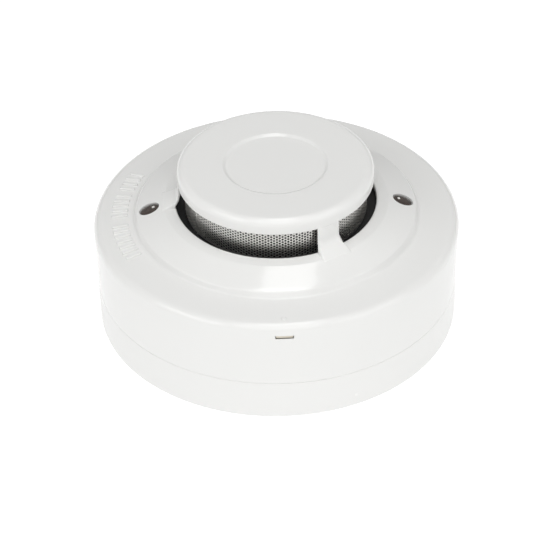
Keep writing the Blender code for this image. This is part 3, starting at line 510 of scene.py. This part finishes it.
def make_chassis():
    """Plate with its bayonet ring and tabs below, and its rim, bosses and snap hooks above."""
    points = [(0, 12.0, 0), (42.3, 12.0, 0.3), (42.3, 5.5, 0.2), (44.0, 5.5, 0.3), (44.0, 12.0, 0.3)]
    points += [(46.6, 12.0, 0.3), (46.6, 17.0, 0.4), (45.1, 17.0, 0.4), (45.1, 13.8, 0.5), (0, 13.8, 0)]
    chassis = turned("head_chassis_fine", points, longest=4.0)
    for azimuth in LUG_AZIMUTHS:
        tab = prism("tab", sector(43.2, 46.7, azimuth - 7.6, azimuth + 6.0), 5.2, 7.2, 0.15)
        combine(chassis, tab, "UNION")
        boss = turned("boss", [(0, 13.2, 0), (3.3, 13.2, 0), (3.0, 19.7, 0.2), (0, 19.7, 0)], 41, 9.0)
        combine(chassis, shift(boss, *around(BOARD_SCREW_RADIUS, azimuth)), "UNION")
        pilot = turned("pilot", [(0, 15.3, 0), (1.2, 15.3, 0), (1.2, 21, 0), (0, 21, 0)], 31, 9.0)
        combine(chassis, shift(pilot, *around(BOARD_SCREW_RADIUS, azimuth)), "DIFFERENCE")
    for azimuth in HOOK_AZIMUTHS:
        arm = [(45.2, 13.5, 0), (46.5, 13.5, 0), (46.5, 26.9, 0.3), (49.5, 26.9, 0.05), (49.5, 27.84, 0.1)]
        arm += [(46.6, 28.0, 0.3), (45.2, 28.0, 0.3)]
        hook = slab("hook", [tuple(point) for point in fillet(arm, 15.0)], 4.4, 0.04)
        combine(chassis, turn_to(hook, azimuth), "UNION")
    for azimuth in TERMINAL_AZIMUTHS:
        slot = block("blade_slot", (1.4, 3.6), (0.0, -BLADE_RADIUS), 3.0, 19.0, 0.0)
        combine(chassis, turn_to(slot, azimuth), "DIFFERENCE")
    return piece(chassis, IVORY, "head", "chassis_plastic", ["head_chassis"])


def make_blade(index, azimuth):
    """Contact blade with its foot."""
    low, high = size_of(f"contact_blade_{index}")
    blade = block(f"contact_blade_{index}_fine", (0.8, 3.0), (0.0, -BLADE_RADIUS), low.z, high.z, 0.1)
    foot = block("foot", (5.0, 2.9), (0.0, -BLADE_RADIUS), low.z, low.z + 0.65, 0.15)
    combine(blade, foot, "UNION")
    piece(turn_to(blade, azimuth), BRASS, "head", "brass", [f"contact_blade_{index}"])


# Head: board and what stands on it

def make_board():
    """Green board with its screw holes."""
    low, high = size_of("circuit_board")
    radius = high.x
    points = [(0, low.z, 0), (radius, low.z, 0.15), (radius, high.z, 0.15), (0, high.z, 0)]
    board = turned("circuit_board_fine", points, 180, 6.0)
    for azimuth in LUG_AZIMUTHS:
        hole = turned("hole", [(0, 19, 0), (1.5, 19, 0), (1.5, 23, 0), (0, 23, 0)], 31, 9.0)
        combine(board, shift(hole, *around(BOARD_SCREW_RADIUS, azimuth)), "DIFFERENCE")
    piece(board, BOARD, "head", "board", ["circuit_board"])


def make_tracks():
    """Copper tracks under the green mask: arcs and short radial runs, with a plated hole at each end."""
    tracks, rings = [], []
    for index in range(28):
        start = index * 360.0 / 28
        radius = 25.4 + (index * 5) % 15
        span = 9.0 + 4.0 * (index % 3)
        arc = sector(radius, radius + 0.4, start, start + span)
        tracks.append(prism("track", arc, BOARD_TOP - 0.02, BOARD_TOP + 0.035))
        run_out = min(41.0, radius + 2.0 + index % 4)
        run = block("run", (0.4, run_out - radius), (0.0, -(radius + run_out) / 2), BOARD_TOP - 0.02,
                    BOARD_TOP + 0.034, 0.0)
        tracks.append(turn_to(run, start + span))
        for place in (around(radius + 0.2, start), around(run_out, start + span)):
            points = [(0.2, BOARD_TOP - 0.02, 0), (0.5, BOARD_TOP - 0.02, 0), (0.5, BOARD_TOP + 0.06, 0.03)]
            points += [(0.2, BOARD_TOP + 0.06, 0.03)]
            rings.append(shift(turned("ring", points, 20, 1.0), *place))
    piece(merge("board_tracks", tracks), MASKED_COPPER, "head", "board")
    piece(merge("plated_holes", rings), SOLDER, "head", "steel")


def make_chips():
    """Rows of small chip resistors and capacitors between the larger components."""
    bodies = {"dark": [], "pale": []}
    ends = []
    azimuths = (23.0, 32.0, 72.0, 79.0, 164.0, 192.0, 201.0, 210.0, 244.0, 254.0, 280.0, 288.0)
    for index, azimuth in enumerate(azimuths):
        for row, radius in enumerate((28.0, 31.5, 35.0)):
            kind = "pale" if (index + row) % 3 == 0 else "dark"
            height = 0.9 if kind == "pale" else 0.55
            centre = (0.0, -radius)
            chip = block("chip", (1.2, 1.25), centre, BOARD_TOP, BOARD_TOP + height, 0.05)
            bodies[kind].append(turn_to(chip, azimuth))
            for side in (-0.8, 0.8):
                end = block("end", (0.5, 1.3), (side, -radius), BOARD_TOP, BOARD_TOP + height + 0.03, 0.08)
                ends.append(turn_to(end, azimuth))
    piece(merge("chip_resistors", bodies["dark"]), EPOXY, "head", "component_black")
    piece(merge("chip_capacitors", bodies["pale"]), CERAMIC, "head", "chassis_plastic")
    piece(merge("chip_ends", ends), SOLDER, "head", "steel")


def make_joints():
    """Cones of solder round the leads that come through the board."""
    joints = []
    places = [around(BLADE_RADIUS + step, azimuth) for azimuth in TERMINAL_AZIMUTHS for step in (-0.9, 0.9)]
    places += [around(33.0 + step, across) for step in (-2.6, 2.6) for across in (-8.5, 8.5)]
    for x, y in places:
        points = [(0, BOARD_TOP - 0.02, 0), (1.0, BOARD_TOP - 0.02, 0), (0.95, BOARD_TOP + 0.1, 0.1)]
        points += [(0.4, BOARD_TOP + 0.55, 0.5), (0, BOARD_TOP + 0.8, 0)]
        joints.append(shift(turned("joint", points, 20, 1.0), x, y))
    piece(merge("solder_joints", joints), SOLDER, "head", "steel")


def make_relay():
    """Sealed relay with a raised rim round its lid."""
    low, high = size_of("relay")
    centre = (0.0, (low.y + high.y) / 2)
    size = (high.x - low.x, high.y - low.y)
    body = block("relay_fine", size, centre, low.z + 0.4, high.z, 0.35)
    lid = block("lid", (size[0] - 1.4, size[1] - 1.4), centre, high.z - 0.15, high.z + 0.5, 0.1)
    combine(body, lid, "DIFFERENCE")
    feet = [block("foot", (0.9, 0.9), (x, y), low.z, low.z + 1.0, 0.1)
            for x in (low.x + 0.6, high.x - 0.6) for y in (low.y + 0.6, high.y - 0.6)]
    for foot in feet:
        combine(body, foot, "UNION")
    piece(body, RELAY, "head", "relay_case", ["relay"])


def leg_profile(reach, shoulder):
    """A gull-wing leg from the body's side down to the board, about 0.2 mm thick."""
    run = [(-0.2, shoulder), (0.35, shoulder), (reach - 0.75, 0.12), (reach, 0.12)]
    return ribbon(run, 0.16)


def make_chip_package(name, size, per_side, pitch, sides, turn, radius):
    """Moulded package with gull-wing legs on two or four sides, and a dimple by its first leg."""
    low, high = size_of(name)
    height = high.z - low.z
    body = block(f"{name}_fine", size, (0.0, 0.0), BOARD_TOP + 0.15, BOARD_TOP + 0.3 + height, 0.12)
    dimple = turned("dimple", [(0, 0, 0), (0.45, 0, 0), (0.45, 3, 0), (0, 3, 0)], 24, 9.0)
    shift(dimple, 1.1 - size[0] / 2, 1.1 - size[1] / 2, BOARD_TOP + 0.2 + height)
    combine(body, dimple, "DIFFERENCE")
    legs = []
    for side in sides:
        depth = size[0] / 2 if side % 180.0 else size[1] / 2
        for index in range(per_side):
            leg = slab("leg", leg_profile(1.25, 0.5 * height), 0.32 if per_side > 4 else 0.9, 0.03)
            shift(leg, (index - (per_side - 1) / 2) * pitch, -depth, BOARD_TOP + 0.03)
            legs.append(turn_to(leg, side))
    for obj in (body, *legs):
        shift(obj, 0.0, -radius)
        turn_to(obj, turn)
    piece(body, EPOXY, "head", "component_black", [name])
    piece(merge(f"{name}_legs", legs), SOLDER, "head", "steel")


def make_capacitor():
    """Electrolytic capacitor: shrink sleeve and a scored metal top."""
    low, high = size_of("capacitor")
    x, y = (low.x + high.x) / 2, (low.y + high.y) / 2
    radius = (high.x - low.x) / 2
    points = [(0, low.z, 0), (radius - 0.2, low.z, 0.3), (radius - 0.05, low.z + 0.7, 0.2)]
    points += [(radius - 0.35, low.z + 1.2, 0.3), (radius, low.z + 1.7, 0.3), (radius, high.z - 0.05, 0.5)]
    points += [(radius - 0.8, high.z, 0.1), (radius - 0.9, high.z - 0.25, 0.1), (0, high.z - 0.25, 0)]
    sleeve = shift(turned("capacitor_fine", points, 64, 1.0), x, y)
    piece(sleeve, SLEEVE, "head", "capacitor_sleeve", ["capacitor"])
    disc = [(0, high.z - 0.3, 0), (radius - 0.85, high.z - 0.3, 0), (radius - 0.85, high.z - 0.08, 0.05)]
    top = turned("capacitor_top", disc + [(0, high.z - 0.08, 0)], 64, 1.0)
    for size in ((3.2, 0.2), (0.2, 3.2)):
        combine(top, block("score", size, (0, 0), high.z - 0.14, high.z + 1.0, 0.0), "DIFFERENCE")
    piece(shift(top, x, y), STEEL, "head", "steel")


def make_board_screw(index, azimuth):
    """Pan-head screw with a cross recess."""
    low, high = size_of(f"board_screw_{index}")
    seat = BOARD_TOP + 0.3
    points = [(0, low.z, 0), (0.45, low.z, 0.1), (0.85, low.z + 0.6, 0.1), (0.85, seat, 0.1), (2.2, seat, 0.1)]
    points += [(2.2, high.z - 0.4, 0.5), (1.4, high.z, 0.8), (0, high.z, 0)]
    screw = turned(f"board_screw_{index}_fine", points, 48, 0.8)
    for size in ((2.4, 0.5), (0.5, 2.4)):
        combine(screw, block("cross", size, (0, 0), high.z - 0.7, high.z + 1.0, 0.0), "DIFFERENCE")
    shift(screw, *around(BOARD_SCREW_RADIUS, azimuth))
    piece(screw, STEEL, "head", "steel", [f"board_screw_{index}"])


def make_leads(name, place, spacing, azimuth, low, high):
    """Two square leads side by side."""
    leads = [block("lead", (0.45, 0.45), (side * spacing, 0.0), low, high, 0.05) for side in (-0.5, 0.5)]
    for lead in leads:
        shift(turn_to(lead, azimuth), *place)
    piece(merge(name, leads), SOLDER, "head", "steel")


def make_status_led(side, azimuth):
    """Round-nosed red light with its flange and two leads."""
    high = size_of(f"status_led_{side}")[1].z
    foot = high - 5.0
    points = [(0, foot, 0), (1.85, foot, 0.1), (1.85, foot + 0.9, 0.15), (1.5, foot + 0.9, 0.1)]
    points += [(1.5, high, 1.4), (0, high, 0)]
    body = shift(turned(f"status_led_{side}_fine", points, 48, 0.6), *around(LENS_RADIUS, azimuth))
    piece(body, RED_EPOXY, "head", "led_epoxy", [f"status_led_{side}"])
    make_leads(f"status_led_{side}_leads", around(LENS_RADIUS, azimuth), 1.6, azimuth, BOARD_TOP, foot + 0.3)


def make_thermistor():
    """Heat sensor: a dipped bead on two leads that stand in the air slot."""
    high = size_of("thermistor")[1].z
    centre = high - 1.26
    points = [(0, centre - 1.9, 0), (0.55, centre - 1.6, 0.5), (0.9, centre, 1.5), (0.55, centre + 1.1, 0.8)]
    points += [(0, centre + 1.26, 0)]
    place = around(*THERMISTOR_PLACE)
    bead = shift(turned("thermistor_fine", points, 32, 0.3), *place)
    piece(bead, DARK_EPOXY, "head", "dark_epoxy", ["thermistor"])
    make_leads("thermistor_leads", place, 0.9, THERMISTOR_PLACE[1], BOARD_TOP, centre - 0.8)


def make_chamber():
    """Pedestal, flange and floor of the chamber, and its lid."""
    low, high = size_of("chamber_base")
    floor = high.z - 1.2
    points = [(0, floor, 0), (22.2, floor, 0.3), (22.2, low.z, 0.2), (23.8, low.z, 0.2), (23.8, floor, 0.4)]
    points += [(high.x, floor, 0.3), (high.x, high.z, 0.3), (0, high.z, 0)]
    chamber = turned("chamber_base_fine", points, 180, 3.0)
    hole = turned("lead_hole", [(0, 30, 0), (1.4, 30, 0), (1.4, 36, 0), (0, 36, 0)], 31, 9.0)
    combine(chamber, shift(hole, *around(*THERMISTOR_PLACE)), "DIFFERENCE")
    piece(chamber, BLACK, "head", "chamber_plastic", ["chamber_base"])
    low, high = size_of("chamber_lid")
    points = [(0, low.z, 0), (high.x, low.z, 0.1), (high.x, high.z, 0.3), (17.0, high.z, 0.1)]
    points += [(16.6, high.z - 0.3, 0.1), (0, high.z - 0.3, 0)]
    piece(turned("chamber_lid_fine", points, 180, 3.0), BLACK, "head", "chamber_plastic", ["chamber_lid"])


def dress_frame():
    """Materials for the CAD nodes that stay as they are."""
    finishes = {"labyrinth": BLACK, "optics_shield": BLACK}
    finishes.update({"infrared_emitter": DARK_EPOXY, "photodiode": DARK_EPOXY})
    for name, finish in finishes.items():
        bpy.data.objects[name].material_slots[0].material = finish


# Insect screen

def make_screen():
    """Perforated band in two skins: staggered holes, each in a cell of its own, and plain rims."""
    outer = screen_high.x
    inner = outer - 0.22
    columns = 206
    pitch = 0.86
    hole = 0.325
    low = screen_low.z + 0.35
    rows = math.floor((screen_high.z - low - 0.7) / pitch)
    width = TURN * outer / columns
    bm = bmesh.new()
    made = {}

    def vertex(radius, across, height):
        key = (radius, round(across / width * 4000) % (columns * 4000), round(height * 2000))
        if key not in made:
            angle = across / outer
            made[key] = bm.verts.new((radius * math.sin(angle) * MM, -radius * math.cos(angle) * MM, height * MM))
        return made[key]

    def both_skins(corners):
        for radius in (outer, inner):
            bm.faces.new([vertex(radius, *corner) for corner in corners])

    corners = [(-0.5, -0.5), (0.0, -0.5), (0.5, -0.5), (0.5, 0.0)]
    corners += [(0.5, 0.5), (0.0, 0.5), (-0.5, 0.5), (-0.5, 0.0)]
    for column in range(columns):
        centre = column * width
        lift = pitch / 2 if column % 2 else 0.0
        for row in range(rows):
            middle = low + (row + 0.5) * pitch + lift
            edge = [(centre + x * width, middle + y * pitch) for x, y in corners]
            ring = []
            for index in range(8):
                angle = math.radians(-135.0 + 45.0 * index)
                ring.append((centre + hole * math.cos(angle), middle + hole * math.sin(angle)))
            for index in range(8):
                after = (index + 1) % 8
                both_skins((edge[index], edge[after], ring[after], ring[index]))
                wall = [vertex(outer, *ring[index]), vertex(outer, *ring[after])]
                bm.faces.new(wall + [vertex(inner, *ring[after]), vertex(inner, *ring[index])])
        for rim, cell in ((screen_low.z, low + lift), (screen_high.z, low + lift + rows * pitch)):
            for x in (-0.5, 0.0):
                left, right = centre + x * width, centre + (x + 0.5) * width
                both_skins(((left, cell), (right, cell), (right, rim), (left, rim)))
                lid = [vertex(outer, left, rim), vertex(outer, right, rim)]
                bm.faces.new(lid + [vertex(inner, right, rim), vertex(inner, left, rim)])
    piece(finish_mesh(bm, "insect_screen_fine"), SCREEN, "head", "screen_metal", ["insect_screen"])
    seam = prism("insect_screen_seam", sector(outer + 0.02, outer + 0.14, -61.2, -60.0), screen_low.z, screen_high.z)
    piece(seam, SCREEN, "head", "screen_metal")


# Stage, lights and camera

def area_light(name, place, target, size, power):
    light = bpy.data.lights.new(name, "AREA")
    light.shape = "RECTANGLE"
    light.size, light.size_y = size
    light.energy = power
    obj = bpy.data.objects.new(name, light)
    obj.location = place
    direction = Vector(target) - Vector(place)
    obj.rotation_euler = direction.to_track_quat("-Z", "Y").to_euler()
    bpy.context.scene.collection.objects.link(obj)
    return obj


def make_stage():
    """A pale light table under the detector, with softboxes round the front and above."""
    bm = bmesh.new()
    bmesh.ops.create_grid(bm, x_segments=8, y_segments=8, size=3.0)
    floor = finish_mesh(bm, "floor")
    paint = bpy.data.materials.new("pale_floor")
    paint.use_nodes = True
    shader = paint.node_tree.nodes["Principled BSDF"]
    shader.inputs["Base Color"].default_value = (0.35, 0.35, 0.35, 1.0)
    shader.inputs["Roughness"].default_value = 0.9
    shader.inputs["Emission Color"].default_value = (1.0, 1.0, 1.0, 1.0)
    shader.inputs["Emission Strength"].default_value = 0.8
    floor.data.materials.append(paint)
    world = bpy.data.worlds.new("studio")
    bpy.context.scene.world = world
    world.use_nodes = True
    background = world.node_tree.nodes["Background"]
    background.inputs["Color"].default_value = (1.0, 1.0, 1.0, 1.0)
    background.inputs["Strength"].default_value = 0.29
    distance = 1.6
    boxes = (("low_right", 12.0, 60.0, 1.2), ("front", 38.0, 0.0, 2.9), ("left", 38.0, -60.0, 5.8))
    boxes += (("right", 38.0, 60.0, 4.0), ("high_front", 62.0, 0.0, 4.7), ("overhead", 87.0, 0.0, 2.9))
    for name, elevation, azimuth, power in boxes:
        height = distance * math.sin(math.radians(elevation))
        x, y = around(distance * math.cos(math.radians(elevation)), azimuth)
        size = (0.6, 0.6) if name == "overhead" else (1.1, 0.7)
        area_light(name, (x, y, height), (0.0, 0.0, 0.02), size, power)
    area_light("top_patch", (0.061, 0.15, 0.93), (0.0, 0.0, 0.03), (0.23, 0.32), 0.7)
    bpy.context.scene.view_settings.view_transform = "Standard"


def make_camera():
    camera = bpy.data.cameras.new("camera")
    camera.sensor_width = 36.0
    camera.lens = 163.6
    obj = bpy.data.objects.new("camera", camera)
    obj.location = (-0.01834, -0.5529, 0.43505)
    target = Vector((-0.00048, 0.00465, 0.00595))
    look = (target - obj.location).to_track_quat("-Z", "Y")
    roll = Matrix.Rotation(math.radians(-0.998), 4, "Z")
    obj.rotation_euler = (look.to_matrix().to_4x4() @ roll).to_euler()
    bpy.context.scene.collection.objects.link(obj)
    bpy.context.scene.camera = obj


def main():
    make_stage()
    make_camera()
    make_cover()
    make_marks()
    make_base()
    make_chassis()
    for index, azimuth in enumerate(TERMINAL_AZIMUTHS, start=1):
        make_terminal(index, azimuth)
        make_blade(index, azimuth)
    make_board()
    make_tracks()
    make_chips()
    make_joints()
    make_relay()
    make_chip_package("microcontroller", (7.6, 7.6), 8, 0.8, (0.0, 90.0, 180.0, 270.0), 330.0, 33.0)
    make_chip_package("rectifier", (7.0, 4.6), 2, 5.0, (0.0, 180.0), 152.0, 32.5)
    make_capacitor()
    for index, azimuth in enumerate(LUG_AZIMUTHS, start=1):
        make_board_screw(index, azimuth)
    for side, azimuth in LENS_AZIMUTHS.items():
        make_lens(side, azimuth)
        make_status_led(side, azimuth)
    make_thermistor()
    make_chamber()
    make_screen()
    dress_frame()


main()
